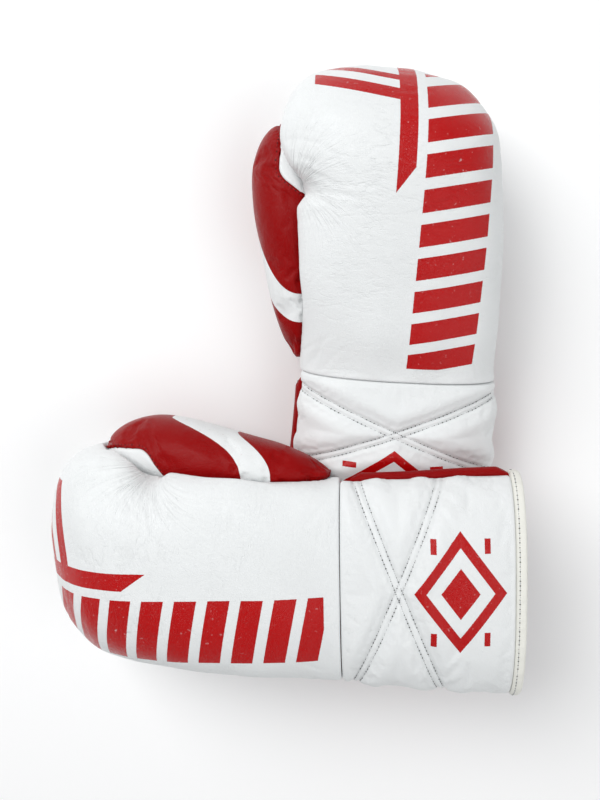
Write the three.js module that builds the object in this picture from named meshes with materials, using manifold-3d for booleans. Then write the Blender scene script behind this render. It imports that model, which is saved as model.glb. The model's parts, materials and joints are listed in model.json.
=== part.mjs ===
// A pair of lace-up boxing gloves lying palm down, one cuff resting across the other.
// Millimetres, +Z up. Each glove is drawn in its own frame: X runs from the cuff's open end to
// the front of the fist, +Y points to the thumb, and +Z points out of the back of the hand.
import * as THREE from "three";
import { mergeVertices } from "three/addons/utils/BufferGeometryUtils.js";
import Module from "manifold-3d";

const wasm = await Module();
wasm.setup();

// Materials' thicknesses and clearances
const clearance = 0.3; // between pieces that touch
const skin = 2; // leather with its backing
const liningThickness = 1.5;
const cuffPadThickness = 9;
const facingThickness = 4; // doubled leather under the lace holes
const tongueThickness = 5;
const gussetThickness = 3;
const gussetRecess = 4; // how far the wrist gusset lies below the outer leather
const bindingProud = 0.8; // how far the binding stands out of the leather
const bindingDepth = 7; // how deep the binding reaches into the wall
const bindingWidth = 7;

// Cuff
const cuffLength = 112;
const gussetLength = 14; // soft fold between cuff and hand
const sideSeamHeight = 84; // where the back of the cuff meets the two lace wings
const slitHalfWidth = 12; // half the gap between the lace facings
const facingWidth = 22;
const tongueHalfWidth = 30;
const tongueEndGap = 4; // from the tongue's ends to the cuff's ends
const laceHoles = 6; // in each facing
const laceHoleRadius = 2.5;
const laceHoleMargin = 13; // from a facing's end to its first hole

// Hand
const handStart = cuffLength + gussetLength;
const handLength = 211; // from the gusset to the front of the fist
const pocketLength = 0.758 * handLength; // of the hollow for the hand
const palmLength = 0.379 * handLength; // from the gusset to the finger padding
const palmEnd = handStart + palmLength;
const seamHeight = 58; // between the back shell and the panels under it
const padSplitHeight = 70; // between the upper and the lower padding
const gripRadius = 9;
const gripLength = 84;
const gripHeight = 55;

// Thumb
const thumbReach = 169; // from the gusset to the thumb's tip
const thumbClearance = 1.2; // running gap round the thumb
const creaseGap = 5; // wider gap between the thumb's tip and the fist
const thumbSplitAngle = 6.6; // of the seam plane between its two leather panels, degrees
const strapFromTip = 33; // from the thumb's tip to the far edge of its strap
const strapLength = 14;
const strapStart = handStart + thumbReach - strapFromTip;
const strapThickness = 3;
const strapHeight = 66;

// How the two gloves lie
const sectionSides = 18;
const thumbSides = 10;
const restDepth = 1.2; // how far a fist's padding flattens on the surface
const rightTurn = 87; // about +Z, degrees
const leftTurn = 181;
const rightPlace = [73.5, 33.8]; // of the middle of the wrist
const leftPlace = [36.4, -125.1];

// Cross-sections: [place along the part in %, thumb side, little-finger side, top, bottom, squareness]
const handSections = [
  [0, 73, -73, 119, 52, 2.4],
  [12, 74, -72, 124, 49, 2.5],
  [33, 75, -69, 129, 38, 2.6],
  [49, 77, -67, 131, 22, 2.7],
  [61.5, 81, -65, 131, 8, 2.7],
  [71.5, 90, -62, 129, 2, 2.7],
  [80.5, 95, -58, 123, 0, 2.7],
  [88.5, 91, -48, 111, 4, 2.6],
  [95, 80, -33, 95, 14, 2.5],
  [98, 68, -14, 82, 27, 2.3],
  [100, 50, 8, 67, 42, 2.1],
];
const cuffSections = [
  [0, 77, -83, 116, 49, 2.3],
  [27, 76, -81, 119, 49, 2.3],
  [62, 74, -78, 120, 51, 2.3],
  [100, 73, -75, 118, 53, 2.3],
];
const pocketSections = [
  [0, 58, -58, 104, 67, 2.2],
  [26, 52, -52, 103, 62, 2.2],
  [53, 50, -50, 101, 52, 2.2],
  [74, 50, -47, 98, 43, 2.2],
  [91, 45, -40, 91, 43, 2.2],
  [100, 32, -26, 82, 52, 2.2],
];
// The thumb's own sections: [place along its reach in %, centre y, centre z, half width, half height]
const thumbSections = [
  [1, 75, 76, 3, 8],
  [8, 76, 75, 9, 16],
  [24, 80, 72, 15, 26],
  [47, 84, 66, 21, 33],
  [64.5, 87, 61, 26, 35],
  [78, 89, 58, 26, 33],
  [89, 90, 56, 22, 28],
  [96, 91, 55, 15, 20],
  [100, 91, 54, 6, 9],
];
const creaseStart = 73; // %, where the wider gap between thumb and fist begins
// The hollow stall in the thumb, which opens into the hand pocket, in the same columns
const stallSections = [
  [17, 38, 77, 12, 12],
  [37, 57, 73, 12, 12],
  [59, 77, 66, 12, 12],
  [80, 87, 59, 11, 11],
];

// A THREE geometry as a manifold solid
function solidOf(geometry) {
  const bare = geometry.index ? geometry.toNonIndexed() : geometry.clone();
  bare.deleteAttribute("normal");
  bare.deleteAttribute("uv");
  const merged = mergeVertices(bare, 1e-4);
  return new wasm.Manifold(
    new wasm.Mesh({
      numProp: 3,
      vertProperties: merged.attributes.position.array,
      triVerts: new Uint32Array(merged.index.array),
    }),
  );
}

// A closed solid lofted through rings that hold the same number of points
function loft(rings) {
  const count = rings[0].length;
  const points = rings.flat();
  const faces = [];
  for (let i = 0; i + 1 < rings.length; i++) {
    for (let k = 0; k < count; k++) {
      const a = i * count + k;
      const b = i * count + ((k + 1) % count);
      faces.push(a, b, b + count, a, b + count, a + count);
    }
  }
  for (const [ring, start, flip] of [
    [rings[0], 0, true],
    [rings[rings.length - 1], (rings.length - 1) * count, false],
  ]) {
    const middle = points.length;
    points.push([0, 1, 2].map((j) => ring.reduce((sum, p) => sum + p[j], 0) / count));
    for (let k = 0; k < count; k++) {
      const a = start + k;
      const b = start + ((k + 1) % count);
      faces.push(...(flip ? [middle, b, a] : [middle, a, b]));
    }
  }
  const geometry = new THREE.BufferGeometry();
  geometry.setAttribute("position", new THREE.Float32BufferAttribute(points.flat(), 3));
  geometry.setIndex(faces);
  return solidOf(geometry);
}

const bend = (value, power) => Math.sign(value) * Math.abs(value) ** power;

// One closed cross-section, set in by `inset`
function ring(x, centreY, centreZ, halfWidth, halfHeight, squareness, inset, sides) {
  return Array.from({ length: sides }, (_, k) => {
    const angle = (2 * Math.PI * (k + 0.5)) / sides;
    return [
      x,
      centreY + (halfWidth - inset) * bend(Math.cos(angle), 2 / squareness),
      centreZ + (halfHeight - inset) * bend(Math.sin(angle), 2 / squareness),
    ];
  });
}

function sectionRing(x, [, thumbY, littleY, top, bottom, squareness], inset) {
  return ring(
    x,
    (thumbY + littleY) / 2,
    (top + bottom) / 2,
    (thumbY - littleY) / 2,
    (top - bottom) / 2,
    squareness,
    inset,
    sectionSides,
  );
}

// The hand, or its pocket, set in by `inset`; an open one reaches past the wrist end
function handBody(sections, length, inset, open) {
  const rings = sections.map((s) => sectionRing(handStart + (s[0] / 100) * (length - inset), s, inset));
  if (open) rings.unshift(sectionRing(handStart - 5, sections[0], inset));
  return loft(rings);
}
const handSolid = (inset, open) => handBody(handSections, handLength, inset, open);
const pocketSolid = (inset, open) => handBody(pocketSections, pocketLength, inset, open);

// The cuff, set in by `inset`, with each end moved out by `reach`
function cuffBody(inset, reach = 0) {
  const rings = cuffSections.map((s) => sectionRing((s[0] / 100) * cuffLength, s, inset));
  if (reach) {
    rings.unshift(sectionRing(-reach, cuffSections[0], inset));
    rings.push(sectionRing(cuffLength + reach, cuffSections.at(-1), inset));
  }
  return loft(rings);
}

// The thumb, or its stall, set in by `inset`; `extra(share)` widens it
function thumbBody(sections, inset, extra = () => 0) {
  const last = sections.length - 1;
  return loft(
    sections.map(([share, y, z, halfWidth, halfHeight], i) => {
      const shift = i === 0 ? inset : i === last ? -inset : 0;
      const x = handStart + (share / 100) * thumbReach + shift;
      const room = Math.min(inset, 0.8 * Math.min(halfWidth, halfHeight)) - extra(share);
      return ring(x, y, z, halfWidth, halfHeight, 2.2, room, thumbSides);
    }),
  );
}

const far = 500;
// A box that holds everything between two corners; a missing side is far away
function block({ x = [-far, far], y = [-far, far], z = [-far, far] }) {
  const box = new THREE.BoxGeometry(x[1] - x[0], y[1] - y[0], z[1] - z[0]);
  box.translate((x[0] + x[1]) / 2, (y[0] + y[1]) / 2, (z[0] + z[1]) / 2);
  return solidOf(box);
}

const leather = (color) =>
  new THREE.MeshStandardMaterial({ color, roughness: 0.42, metalness: 0 });
const materials = {
  white: leather(0xf1f3f3),
  red: leather(0xb80007),
  cream: leather(0xe9e8dc),
  foam: new THREE.MeshStandardMaterial({ color: 0xd8cfae, roughness: 0.95, metalness: 0 }),
  lining: new THREE.MeshStandardMaterial({ color: 0xdfe0e2, roughness: 0.8, metalness: 0 }),
};

// Hand pieces, in the glove's frame
function handPieces() {
  const half = clearance / 2;
  const widening = (share) => (share > creaseStart ? creaseGap : thumbClearance);
  const relief = thumbBody(thumbSections, 0, widening);
  const reliefUnderSkin = thumbBody(thumbSections, 0, (share) => widening(share) + skin);
  const reliefInPad = thumbBody(
    thumbSections,
    0,
    (share) => widening(share) + skin + clearance,
  );
  const stall = thumbBody(stallSections, 0);

  const shell = handSolid(0, false)
    .subtract(handSolid(skin, true))
    .subtract(relief);
  const above = block({ z: [seamHeight + half, far] });
  const below = block({ z: [-far, seamHeight - half] });
  const palmSide = block({ x: [-far, palmEnd - half] });
  const fingerSide = block({ x: [palmEnd + half, far] });

  const core = handSolid(skin + clearance, false);
  const web = core.intersect(reliefUnderSkin).subtract(relief).subtract(stall);
  const grip = new THREE.CylinderGeometry(gripRadius, gripRadius, gripLength, 16);
  grip.translate(palmEnd, 0, 0);
  const gripSolid = solidOf(grip.translate(0, 0, gripHeight));
  const groove = solidOf(
    new THREE.CylinderGeometry(
      gripRadius + clearance,
      gripRadius + clearance,
      gripLength + 2 * clearance,
      16,
    ).translate(palmEnd, 0, gripHeight),
  );
  const padding = core
    .subtract(pocketSolid(-liningThickness - clearance, true))
    .subtract(reliefInPad)
    .subtract(stall)
    .subtract(groove);
  const lining = pocketSolid(-liningThickness, false)
    .subtract(pocketSolid(0, true))
    .subtract(stall)
    .subtract(groove);
  const upperPad = block({ z: [padSplitHeight + half, far] });
  const lowerPad = block({ z: [-far, padSplitHeight - half] });
  return {
    back_shell: [shell.intersect(above), "white"],
    finger_shell: [shell.intersect(below).intersect(fingerSide), "white"],
    palm_panel: [shell.intersect(below).intersect(palmSide), "red"],
    thumb_web: [web, "white"],
    knuckle_pad: [padding.intersect(upperPad), "foam"],
    finger_pad: [padding.intersect(lowerPad).intersect(fingerSide), "foam"],
    palm_pad: [padding.intersect(lowerPad).intersect(palmSide), "foam"],
    hand_lining: [lining, "lining"],
    grip_bar: [gripSolid, "lining"],
    thumb_strap: [strap(widening), "white"],
    wrist_gusset: [gusset(), "red"],
  };
}

// The short strap that ties the thumb's tip to the fist, bridging the crease
function strap(widening) {
  const box = block({
    x: [strapStart, strapStart + strapLength],
    y: [0, thumbSections.at(-1)[1]],
    z: [strapHeight, strapHeight + strapThickness],
  });
  return box
    .intersect(thumbBody(thumbSections, 0, (share) => widening(share) - clearance))
    .subtract(thumbBody(thumbSections, 0, () => clearance));
}

// The soft fold that joins cuff and hand
function gusset() {
  const tube = (inset, reach) =>
    loft([
      sectionRing(cuffLength + clearance - reach, cuffSections.at(-1), inset),
      sectionRing(handStart - clearance + reach, handSections[0], inset),
    ]);
  return tube(gussetRecess, 0).subtract(tube(gussetRecess + gussetThickness, 5));
}

function thumbPieces() {
  const split = new THREE.Matrix4().makeRotationZ(THREE.MathUtils.degToRad(thumbSplitAngle));
  const base = [handStart, thumbSections[0][1], 0];
  split.setPosition(...base);
  const outside = block({ y: [clearance / 2, far] }).transform(split.elements);
  const inside = block({ y: [-far, -clearance / 2] }).transform(split.elements);
  const shell = thumbBody(thumbSections, 0).subtract(thumbBody(thumbSections, skin));
  const stall = thumbBody(stallSections, 0);
  return {
    thumb_outer: [shell.intersect(outside), "red"],
    thumb_inner: [shell.intersect(inside).subtract(stall), "white"],
    thumb_pad: [thumbBody(thumbSections, skin + clearance).subtract(stall), "foam"],
  };
}

// A wall of the cuff between two depths below its outer surface
const cuffWall = (outer, inner) => cuffBody(outer).subtract(cuffBody(inner, 10));
const padDepth = skin + clearance;
const liningDepth = padDepth + cuffPadThickness + clearance;

function bindingRing() {
  const section = cuffSections[0];
  const tube = (inset, reach) =>
    loft([
      sectionRing(-bindingWidth - reach, section, inset),
      sectionRing(-clearance + reach, section, inset),
    ]);
  return tube(-bindingProud, 0).subtract(tube(bindingDepth, 5));
}

function cuffPieces() {
  const back = block({ z: [sideSeamHeight + clearance / 2, far] });
  return {
    cuff_cover: [cuffWall(0, skin).intersect(back), "white"],
    cuff_pad: [cuffWall(padDepth, padDepth + cuffPadThickness).intersect(back), "foam"],
    cuff_lining: [cuffWall(liningDepth, liningDepth + liningThickness).intersect(back), "lining"],
    cuff_binding: [bindingRing().intersect(back), "cream"],
  };
}

// One lace wing; toward is +1 on the thumb's side and -1 on the little finger's
function wingPieces(label, toward) {
  const span = (from, to) => (toward > 0 ? [from, to] : [-to, -from]);
  const under = { z: [-far, sideSeamHeight - clearance / 2] };
  const facingEdge = slitHalfWidth + facingWidth;
  const wing = block({ ...under, y: span(facingEdge + clearance, far) });
  const band = block({ ...under, y: span(slitHalfWidth, facingEdge) });
  const end = block({ ...under, y: span(slitHalfWidth, far) });
  let facing = cuffWall(0, facingThickness).intersect(band);
  const pitch = (cuffLength - 2 * laceHoleMargin) / (laceHoles - 1);
  for (let i = 0; i < laceHoles; i++) {
    const hole = new THREE.CylinderGeometry(laceHoleRadius, laceHoleRadius, 40, 8);
    hole.rotateX(Math.PI / 2);
    hole.translate(laceHoleMargin + i * pitch, toward * (slitHalfWidth + facingWidth / 2), 50);
    facing = facing.subtract(solidOf(hole));
  }
  return {
    [`${label}_cover`]: [cuffWall(0, skin).intersect(wing), "red"],
    [`${label}_pad`]: [cuffWall(padDepth, padDepth + cuffPadThickness).intersect(wing), "foam"],
    [`${label}_lining`]: [
      cuffWall(liningDepth, liningDepth + liningThickness).intersect(wing),
      "lining",
    ],
    [`${label}_facing`]: [facing, "red"],
    [`${label}_binding`]: [bindingRing().intersect(end), "cream"],
  };
}

// The flap behind the lace facings
function tonguePieces() {
  const room = facingThickness + 1;
  const plate = block({
    x: [tongueEndGap, cuffLength - tongueEndGap],
    y: [-tongueHalfWidth, tongueHalfWidth],
    z: [-far, sideSeamHeight],
  });
  return { tongue: [cuffWall(room, room + tongueThickness).intersect(plate), "white"] };
}

// Points that the joints turn about, in the glove's frame
const wristMiddle = cuffLength + gussetLength / 2;
const wristHeight = (cuffSections.at(-1)[3] + cuffSections.at(-1)[4]) / 2;
const tongueHeight = cuffSections.at(-1)[4] + facingThickness + 1 + tongueThickness / 2;
const pivots = {
  wrist: [wristMiddle, 0, wristHeight],
  thumb: [handStart, thumbSections[0][1] - 5, thumbSections[0][2]],
  thumb_wing: [0, cuffSections[0][1] + bindingProud, sideSeamHeight],
  little_wing: [0, cuffSections[0][2] - bindingProud, sideSeamHeight],
  thumb_wing_far: [cuffLength, cuffSections.at(-1)[1] + bindingProud, sideSeamHeight],
  little_wing_far: [cuffLength, cuffSections.at(-1)[2] - bindingProud, sideSeamHeight],
  tongue: [cuffLength - tongueEndGap - 1, 0, tongueHeight],
};

// Points along a fist's underside, as [x, z]
const fistUnderside = handSections.map((s) => [handStart + (s[0] / 100) * handLength, s[4]]);

// Where a glove lies: its wrist stands over `place`, turned about +Z and pitched by radians
function lying(place, turn, pitch) {
  const tilt = new THREE.Matrix4().makeRotationY(pitch);
  const tilted = (x, z) => new THREE.Vector3(x, 0, z).applyMatrix4(tilt);
  const lowest = Math.min(...fistUnderside.map(([x, z]) => tilted(x, z).z));
  const x = -tilted(wristMiddle, 0).x;
  const lift = new THREE.Matrix4().makeTranslation(x, 0, -restDepth - lowest);
  const spot = new THREE.Matrix4().makeRotationZ(THREE.MathUtils.degToRad(turn));
  spot.setPosition(place[0], place[1], 0);
  return spot.multiply(lift).multiply(tilt);
}

// The right glove rests on its fist and on the open end of its cuff.
const cuffEnd = [-bindingWidth, cuffSections[0][4] - bindingProud];
const slopes = fistUnderside.map(([x, z]) => Math.atan2(cuffEnd[1] - z, x - cuffEnd[0]));
const rightLie = lying(rightPlace, rightTurn, -Math.max(...slopes));

// The left glove's cuff lies on the right one's: its pitch is halved in until they just clear.
const outline = handSolid(0, false).add(cuffBody(0)).add(thumbBody(thumbSections, 0));
const rightOutline = outline.add(bindingRing()).transform(rightLie.elements);
let lowPitch = 0;
let highPitch = 0.5;
for (let step = 0; step < 14; step++) {
  const pitch = (lowPitch + highPitch) / 2;
  const lie = lying(leftPlace, leftTurn, pitch);
  const gap = rightOutline.minGap(outline.mirror([0, 1, 0]).transform(lie.elements), 1);
  if (gap < clearance) lowPitch = pitch;
  else highPitch = pitch;
}
const leftLie = lying(leftPlace, leftTurn, highPitch);

// One glove. side is +1 for the right hand and -1 for its mirror image.
function glove(name, side, lie) {
  const body = new THREE.Group();
  body.applyMatrix4(lie);
  const floor = block({ z: [-100, 0] }).transform(lie.clone().invert().elements);
  const pieces = {
    ...handPieces(),
    ...thumbPieces(),
    ...cuffPieces(),
    ...wingPieces("thumb_wing", 1),
    ...wingPieces("little_wing", -1),
    ...tonguePieces(),
  };
  for (const [label, [solid, material]] of Object.entries(pieces)) {
    const sided = side > 0 ? solid : solid.mirror([0, 1, 0]);
    const mesh = new THREE.Mesh(geometryOf(sided.subtract(floor)), materials[material]);
    mesh.name = `${name}_${label}`;
    body.add(mesh);
  }
  for (const [label, [x, y, z]] of Object.entries(pivots)) {
    const pivot = new THREE.Object3D();
    pivot.name = `${name}_${label}_pivot`;
    pivot.position.set(x, side * y, z);
    body.add(pivot);
  }
  return body;
}

function geometryOf(solid) {
  const mesh = solid.getMesh();
  const points = new Float32Array(mesh.numVert * 3);
  for (let i = 0; i < mesh.numVert; i++) {
    points.set(mesh.vertProperties.subarray(i * mesh.numProp, i * mesh.numProp + 3), i * 3);
  }
  const geometry = new THREE.BufferGeometry();
  geometry.setAttribute("position", new THREE.BufferAttribute(points, 3));
  geometry.setIndex(new THREE.BufferAttribute(mesh.triVerts, 1));
  return geometry;
}

const pair = new THREE.Group();
pair.add(glove("right", 1, rightLie));
pair.add(glove("left", -1, leftLie));
// The pair's origin is the middle of its bounding box, on the surface that it lies on.
const bounds = new THREE.Box3().setFromObject(pair, true);
const middle = bounds.getCenter(new THREE.Vector3());
pair.position.set(-middle.x, -middle.y, -bounds.min.z);

export default pair;
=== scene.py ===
import json
import math

import bmesh
import bpy
import numpy as np
from mathutils import Matrix, Vector


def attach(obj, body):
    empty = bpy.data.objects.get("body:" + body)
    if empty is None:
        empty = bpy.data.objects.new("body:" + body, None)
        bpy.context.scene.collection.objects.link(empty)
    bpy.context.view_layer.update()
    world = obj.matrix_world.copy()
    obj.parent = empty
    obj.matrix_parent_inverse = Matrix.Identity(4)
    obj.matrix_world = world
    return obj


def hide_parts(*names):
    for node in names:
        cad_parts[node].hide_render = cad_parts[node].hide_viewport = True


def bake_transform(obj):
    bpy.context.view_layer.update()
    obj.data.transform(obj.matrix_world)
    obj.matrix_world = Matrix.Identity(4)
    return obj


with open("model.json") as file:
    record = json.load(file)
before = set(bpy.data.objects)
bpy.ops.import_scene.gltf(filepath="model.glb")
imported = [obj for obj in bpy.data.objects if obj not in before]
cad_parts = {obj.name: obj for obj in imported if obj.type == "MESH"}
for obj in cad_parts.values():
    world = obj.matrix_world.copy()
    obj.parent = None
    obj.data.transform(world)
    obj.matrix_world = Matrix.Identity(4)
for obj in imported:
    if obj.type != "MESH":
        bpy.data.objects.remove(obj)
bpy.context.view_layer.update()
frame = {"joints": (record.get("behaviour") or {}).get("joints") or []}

print("frame loaded")
mm = 0.001
scene = bpy.context.scene

# Camera, light and floor
view = {
    "target": (0.0141, -0.0189, 0.060),
    "tilt": 5.4,  # degrees off straight down
    "distance": 0.590,
    "lens": 35.2,
}
studio = {
    "floorSize": 6.0,
    "floorDrop": 0.0003,
    "floorWhite": 0.97,
    "worldColour": (0.97, 0.985, 1),
    "worldStrength": 0.36,
    # place, aimed at, size, power
    "boxes": [
        ((-0.9, 0.9, 1.5), (0, 0, 0.03), 1.2, 29),
        ((1.1, -0.5, 1.4), (0, 0, 0.03), 1.5, 11),
    ],
}


def makeCamera():
    tilt = math.radians(view["tilt"])
    camera = bpy.data.objects.new("camera", bpy.data.cameras.new("camera"))
    scene.collection.objects.link(camera)
    back = Vector((0, math.sin(tilt), math.cos(tilt)))
    camera.location = Vector(view["target"]) + back * view["distance"]
    camera.rotation_euler = (-tilt, 0, 0)
    camera.data.lens = view["lens"]
    camera.data.clip_start = 0.01
    scene.camera = camera


def makeStudio():
    half = studio["floorSize"] / 2
    corners = [(-half, -half), (half, -half), (half, half), (-half, half)]
    mesh = bpy.data.meshes.new("floor")
    mesh.from_pydata([(x, y, -studio["floorDrop"]) for x, y in corners], [], [(0, 1, 2, 3)])
    floor = bpy.data.objects.new("floor", mesh)
    scene.collection.objects.link(floor)
    paint = bpy.data.materials.new("floor")
    paint.use_nodes = True
    shader = paint.node_tree.nodes["Principled BSDF"]
    shader.inputs["Base Color"].default_value = (*[studio["floorWhite"]] * 3, 1)
    shader.inputs["Roughness"].default_value = 0.9
    shader.inputs["Specular IOR Level"].default_value = 0.1
    mesh.materials.append(paint)
    for n, (spot, aim, size, watts) in enumerate(studio["boxes"]):
        lamp = bpy.data.lights.new(f"softbox{n}", "AREA")
        lamp.size, lamp.energy = size, watts
        box = bpy.data.objects.new(f"softbox{n}", lamp)
        box.location = spot
        box.rotation_euler = (Vector(aim) - Vector(spot)).to_track_quat("-Z", "Y").to_euler()
        scene.collection.objects.link(box)
    world = bpy.data.worlds.new("studio")
    world.use_nodes = True
    sky = world.node_tree.nodes["Background"].inputs
    sky["Color"].default_value = (*studio["worldColour"], 1)
    sky["Strength"].default_value = studio["worldStrength"]
    scene.world = world
    scene.view_settings.view_transform = "Standard"


makeCamera()
makeStudio()
print("camera and studio ready")


# Each glove's own frame: x runs from the cuff to the fist, y to the thumb, z out of the back.
wristPoint = (119, 0, 85.5)  # where the wrist joint is, in that frame
joints = {j["name"]: j for j in frame["joints"]}


def gloveFrame(side):
    hand = 1 if side == "right" else -1
    wrist, thumb = joints[f"{side}_wrist_flex"], joints[f"{side}_thumb_spread"]
    y = -np.array(wrist["axis"], float)
    z = hand * np.array(thumb["axis"], float)
    y, z = y / np.linalg.norm(y), z / np.linalg.norm(z)
    x = hand * np.cross(y, z)
    turn = np.array([x, y, z])
    origin = np.array(wrist["pos_m"], float) - np.array(wristPoint) * mm @ turn
    return {"turn": turn, "origin": origin, "hand": hand}


gloves = {side: gloveFrame(side) for side in ("right", "left")}


# Millimetres in a glove's frame to metres in the row frame, resting on the surface
def place(side, points):
    g = gloves[side]
    put = np.asarray(points, float) * mm @ g["turn"] + g["origin"]
    put[..., 2] = np.maximum(put[..., 2], 0)
    return put


def turned(side, directions):
    return np.asarray(directions, float) @ gloves[side]["turn"]


# A smooth curve through values at knots
def through(knots, values, at):
    knots, values, at = (np.asarray(a, float) for a in (knots, values, at))
    slope = np.gradient(values, knots, axis=0)
    i = np.clip(np.searchsorted(knots, at, side="right") - 1, 0, len(knots) - 2)
    step = (knots[i + 1] - knots[i])[:, None]
    t = (at - knots[i])[:, None] / step
    start = values[i] * (2 * t**3 - 3 * t**2 + 1) + slope[i] * step * (t**3 - 2 * t**2 + t)
    return start + values[i + 1] * (3 * t**2 - 2 * t**3) + slope[i + 1] * step * (t**3 - t**2)


def smooth(value, low, high):
    t = np.clip((value - low) / (high - low), 0, 1)
    return t * t * (3 - 2 * t)


def power(value, exponent):
    return np.sign(value) * np.abs(value) ** exponent


# A form lofted through cross-sections [x, thumb side, little side, top, bottom, squareness]
class Form:
    def __init__(self, rows):
        self.rows = np.array(rows, float)
        steps = np.linalg.norm(np.diff(self.rows[:, :5], axis=0), axis=1)
        self.knots = np.concatenate([[0], np.cumsum(steps)])
        self.fine = np.linspace(0, self.knots[-1], 4000)
        self.fineX = np.maximum.accumulate(self.at(self.fine)[:, 0])

    def at(self, runs):
        return through(self.knots, self.rows, np.atleast_1d(runs))

    def runTo(self, x):
        return np.interp(x, self.fineX, self.fine)

    # Evenly spaced runs between two places along x
    def runs(self, start, end, step):
        a, b = self.runTo(start), self.runTo(end)
        return np.linspace(a, b, max(3, int(abs(b - a) / step) + 1))

    def angleAtHeight(self, runs, z, side):
        s = self.at(runs)
        level = np.clip((z - (s[:, 3] + s[:, 4]) / 2) / ((s[:, 3] - s[:, 4]) / 2), -1, 1)
        rise = np.arcsin(power(level, s[:, 5] / 2))
        return rise if side > 0 else np.pi - rise

    # On the underside, how far round a place across is
    def angleAtWidth(self, runs, y):
        s = self.at(runs)
        level = np.clip((y - (s[:, 1] + s[:, 2]) / 2) / ((s[:, 1] - s[:, 2]) / 2), -1, 1)
        return 2 * np.pi - np.arccos(power(level, s[:, 5] / 2))

    # A grid over the form between two angles; 0 points to the thumb side and 90 degrees up
    def wrap(self, runs, start, end, shares, inset=0):
        s = self.at(runs)
        start, end = np.broadcast_to(start, len(s)), np.broadcast_to(end, len(s))
        angle = start[:, None] + (end - start)[:, None] * np.linspace(0, 1, 721)
        curve = 2 / s[:, 5:6]
        halfY, halfZ = (s[:, 1:2] - s[:, 2:3]) / 2 - inset, (s[:, 3:4] - s[:, 4:5]) / 2 - inset
        y = (s[:, 1:2] + s[:, 2:3]) / 2 + halfY * power(np.cos(angle), curve)
        z = (s[:, 3:4] + s[:, 4:5]) / 2 + halfZ * power(np.sin(angle), curve)
        run = np.cumsum(np.hypot(np.diff(y, axis=1), np.diff(z, axis=1)), axis=1)
        run = np.hstack([np.zeros((len(s), 1)), run]) / np.maximum(run[:, -1:], 1e-9)
        rows = [
            np.stack([np.full(len(shares), s[i, 0]), np.interp(shares, run[i], y[i]),
                      np.interp(shares, run[i], z[i])], -1)
            for i in range(len(s))
        ]
        return np.array(rows)


# The forms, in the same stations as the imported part
handShape = {
    "start": 126, "length": 211, "rear": 118.95, "seam": 58, "palmEnd": 206, "palmRear": 121.5,
    "lastRing": 338.3, "front": 339, "thumbLength": 169, "pocketLength": 160,
}
handRows = [  # x as a share of the length, then as above
    [0, 73, -73, 119, 52, 2.4], [12, 74, -72, 124, 49, 2.5], [33, 75, -69, 129, 38, 2.6],
    [49, 77, -67, 131, 22, 2.7], [61.5, 81, -65, 131, 8, 2.7], [71.5, 90, -62, 129, 2, 2.7],
    [80.5, 95, -58, 123, 0, 2.7], [88.5, 91, -48, 111, 4, 2.6], [95, 80, -33, 95, 14, 2.5],
    [98, 68, -14, 82, 27, 2.3], [100, 50, 8, 67, 42, 2.1],
]
handStations = [[handShape["start"] + s[0] / 100 * handShape["length"], *s[1:]] for s in handRows]
hand = Form([[112, 73, -74, 117.5, 53, 2.35], *handStations, [338.4, 29.2, 28.8, 58.2, 57.8, 2]])
cuff = Form([
    [-8, 77.5, -83.5, 116, 48.5, 2.3], [0, 77, -83, 116, 49, 2.3], [30, 76, -81, 119, 49, 2.3],
    [70, 74, -78, 120, 51, 2.3], [112, 73, -75, 118, 53, 2.3], [120, 73, -73.5, 117.8, 53, 2.35],
])
thumbRows = [  # x as a share of the length, middle across, middle height, half width, half height
    [1, 75, 76, 3, 8], [8, 76, 75, 9, 16], [24, 80, 72, 15, 26], [47, 84, 66, 21, 33],
    [64.5, 87, 61, 26, 35], [78, 89, 58, 26, 33], [89, 90, 56, 22, 28], [96, 91, 55, 15, 20],
    [100, 91, 54, 6, 9],
]


# The thumb, made wider all round by extra(x)
def thumbForm(extra, firstX, lastX):
    rows = [[firstX, 75.1, 74.9, 76.1, 75.9, 2.2]]
    for share, y, z, w, h in thumbRows:
        x = handShape["start"] + share / 100 * handShape["thumbLength"]
        e = extra(x)
        rows.append([x, y + w + e, y - w - e, z + h + e, z - h - e, 2.2])
    return Form([*rows, [lastX, 91.1, 90.9, 54.1, 53.9, 2.2]])


thumb = thumbForm(lambda x: -0.2, 126.8, 295.6)
hollow = thumbForm(lambda x: 1.1 + 3.4 * float(smooth(x, 236, 262)), 124, 301)  # the room round it
pocket = Form([[handShape["start"] + s[0] / 100 * handShape["pocketLength"], *s[1:]] for s in [
    [0, 58, -58, 104, 67, 2.2], [26, 52, -52, 103, 62, 2.2], [53, 50, -50, 101, 52, 2.2],
    [74, 50, -47, 98, 43, 2.2], [91, 45, -40, 91, 43, 2.2], [100, 32, -26, 82, 52, 2.2],
    [101, -2.5, -3.5, 67.5, 66.5, 2.2],
]])


thumbRoll = {
    "out": 7.5, "lowest": 86,
    "hand": ((145, 195), (236, 249)),  # along x, where it swells and where it sinks again
    "fist": ((249, 268), (276, 320)),
    "rise": ((-2, 7), (12, 36)),  # above the thumb's top
    "across": (20, 60),
}


# Fills the back's leather out over the thumb, with a notch between the hand and the fist
def rollOverThumb(points):
    x, y, z = points[..., 0], points[..., 1], points[..., 2]
    top = np.maximum(hollow.at(hollow.runTo(x.ravel()))[:, 3].reshape(x.shape), thumbRoll["lowest"])

    def between(value, span):
        return smooth(value, *span[0]) * (1 - smooth(value, *span[1]))

    body, fist = (thumbRoll["out"] * between(x, thumbRoll[part]) for part in ("hand", "fist"))
    level = between(z - top, thumbRoll["rise"])
    out = points.copy()
    out[..., 1] = y + (body + fist) * level * smooth(y, *thumbRoll["across"])
    return out


nestle = {"soft": 1.4, "squareness": 2.2, "flare": 5, "fadeIn": (124, 128), "fadeOut": (296, 303)}


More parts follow.
